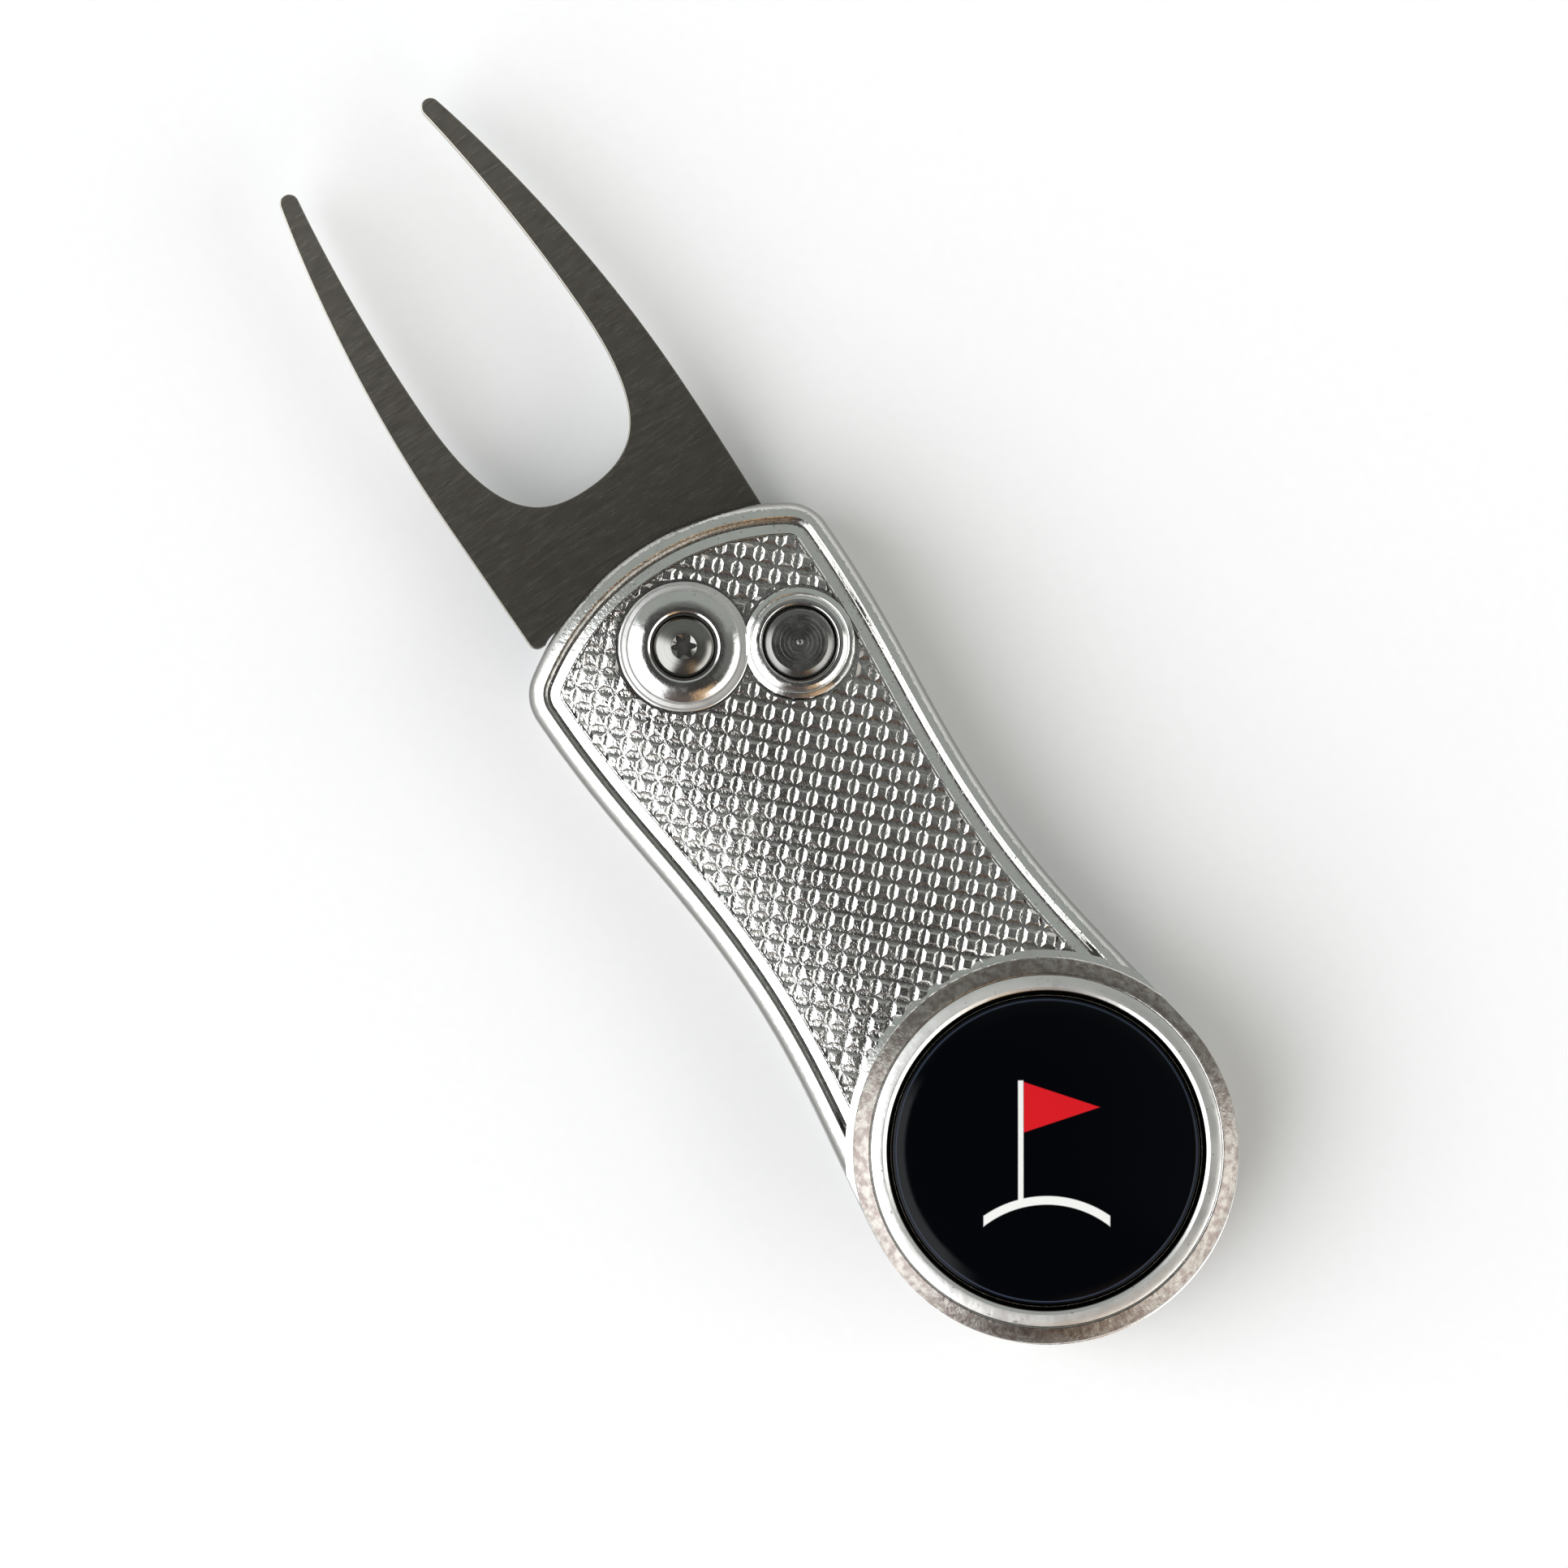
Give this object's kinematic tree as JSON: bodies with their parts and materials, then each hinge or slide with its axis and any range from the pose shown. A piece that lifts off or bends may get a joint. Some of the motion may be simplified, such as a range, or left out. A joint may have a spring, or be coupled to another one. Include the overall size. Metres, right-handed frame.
{
  "type": "divot repair tool",
  "caption": "Folding golf divot tool: waisted plated handle, swing-out two-tine steel fork, pivot screw, push-button lock and a round magnetic ball marker.",
  "frame": {"origin": "centre of the opened tool's footprint, on the back face that it rests on", "axes": "+X along the tool from the marker end to the fork tips, +Y towards the side that the fork folds through, +Z from the back face to the marker"},
  "size_m": [0.1102, 0.0296, 0.0125],
  "materials": {
    "plated_casting": "polished",
    "fork_steel": "brushed across, dark warm grey",
    "pivot_steel": "satin",
    "button_steel": "turned, dark grey",
    "spring_wire": "drawn wire",
    "washer_bronze": "satin",
    "screw_steel": "satin",
    "magnet_plating": "nickel plated",
    "marker_nickel": "dark nickel, polished",
    "marker_print": "black print with a plain flag motif",
    "marker_resin": "clear domed resin, high gloss"
  },
  "bodies": {
    "handle": {"front_scale": "plated_casting", "back_scale": "plated_casting", "pivot_barrel": "pivot_steel", "pivot_screw": "pivot_steel", "front_washer": "washer_bronze", "back_washer": "washer_bronze", "drive_spring": "spring_wire", "button_spring": "spring_wire", "stop_pin": "screw_steel", "rear_screw_1": "screw_steel", "rear_screw_2": "screw_steel", "marker_magnet": "magnet_plating"},
    "fork": {"fork": "fork_steel"},
    "push_button": {"push_button": "button_steel"},
    "marker": {"marker_cup": "marker_nickel", "marker_face": "marker_print", "marker_dome": "marker_resin"}
  },
  "joints": [
    {"name": "fork_swing", "type": "hinge", "parent": "handle", "child": "fork", "pos_m": [0.00822, 0.001, 0.0055], "axis": [0, 0, 1], "range_deg": [0, 180], "stiffness_Nm_per_rad": 0.01, "springref_deg": -34.38, "deforming": ["drive_spring"]},
    {"name": "button_press", "type": "slide", "parent": "handle", "child": "push_button", "axis": [0, 0, -1], "range_m": [0, 0.002], "stiffness_N_per_m": 800, "springref_m": -0.003, "deforming": ["button_spring"]},
    {"name": "marker_lift", "type": "slide", "parent": "handle", "child": "marker", "axis": [0, 0, 1], "range_m": [0, 0.012]}
  ]
}
